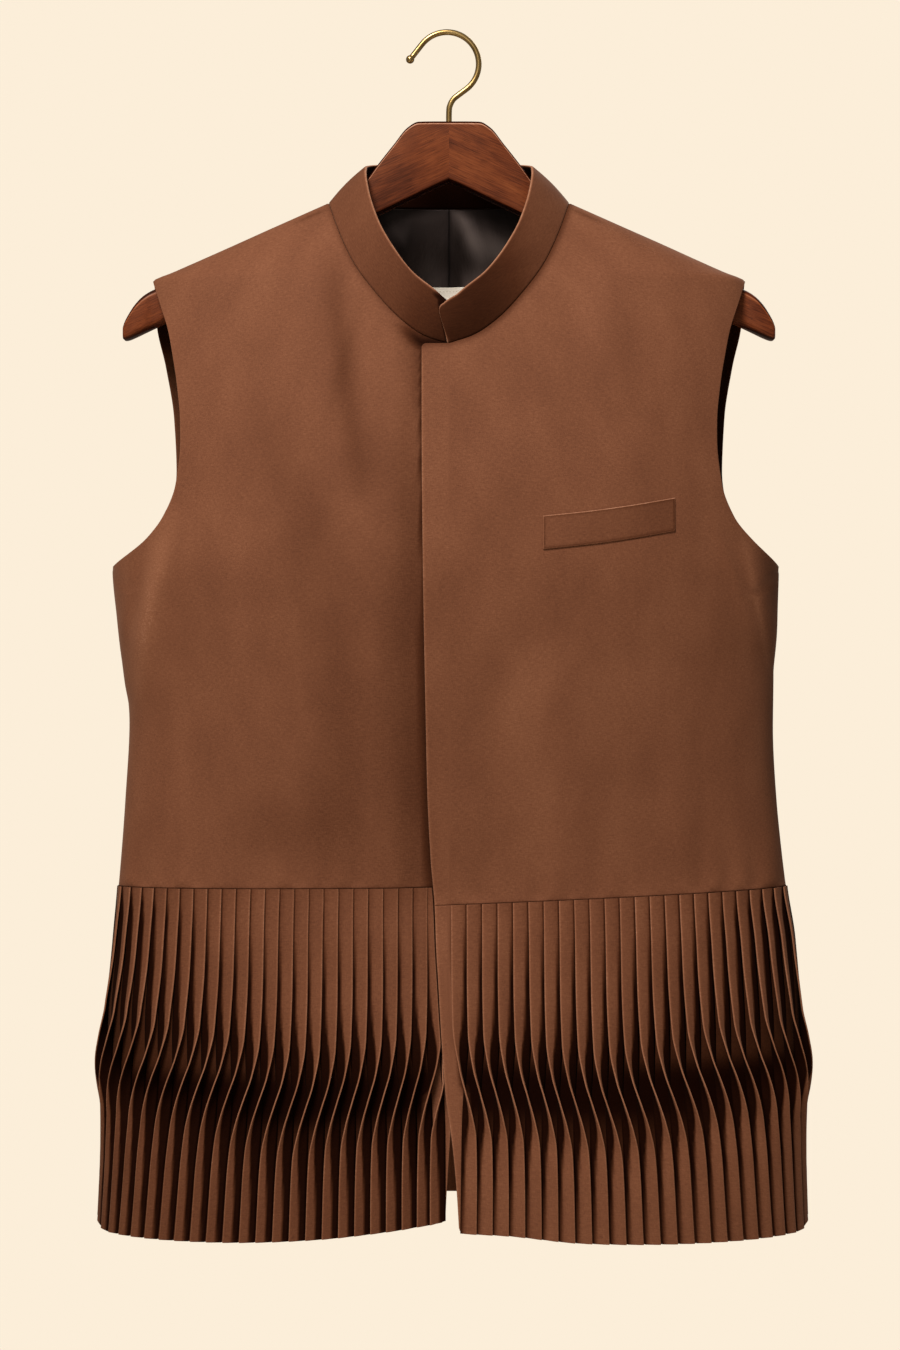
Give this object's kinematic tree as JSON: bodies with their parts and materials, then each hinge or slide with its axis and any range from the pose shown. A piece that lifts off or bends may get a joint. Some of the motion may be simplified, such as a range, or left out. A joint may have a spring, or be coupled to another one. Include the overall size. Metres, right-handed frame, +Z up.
{
  "type": "nehru jacket on a wooden coat hanger",
  "caption": "Sleeveless nehru jacket with a stand collar, concealed placket, chest welt and flared skirt of fine upright tucks, hung on a wooden hanger with a wire hook.",
  "frame": {"origin": "top of the inside of the hook, on the wire's middle plane, where the hook bears on a rail", "axes": "+Z up, the jacket's front faces -Y, +X towards the wearer's left"},
  "size_m": [0.4964, 0.21, 0.826],
  "materials": {
    "suiting": "matte brown wool suiting",
    "lining": "dark satin lining",
    "label": "blank cream woven tape",
    "walnut": "satin varnished reddish walnut",
    "brass": "antique brass wire"
  },
  "bodies": {
    "root": {"front_right": "suiting", "front_left": "suiting", "back_right": "suiting", "back_left": "suiting", "skirt_front_right": "suiting", "skirt_front_left": "suiting", "skirt_back_right": "suiting", "skirt_back_left": "suiting", "collar": "suiting", "pocket_welt": "suiting", "lining_right": "lining", "lining_left": "lining", "label": "label", "hanger_arm_right": "walnut", "hanger_arm_left": "walnut", "hook": "brass"}
  },
  "joints": []
}
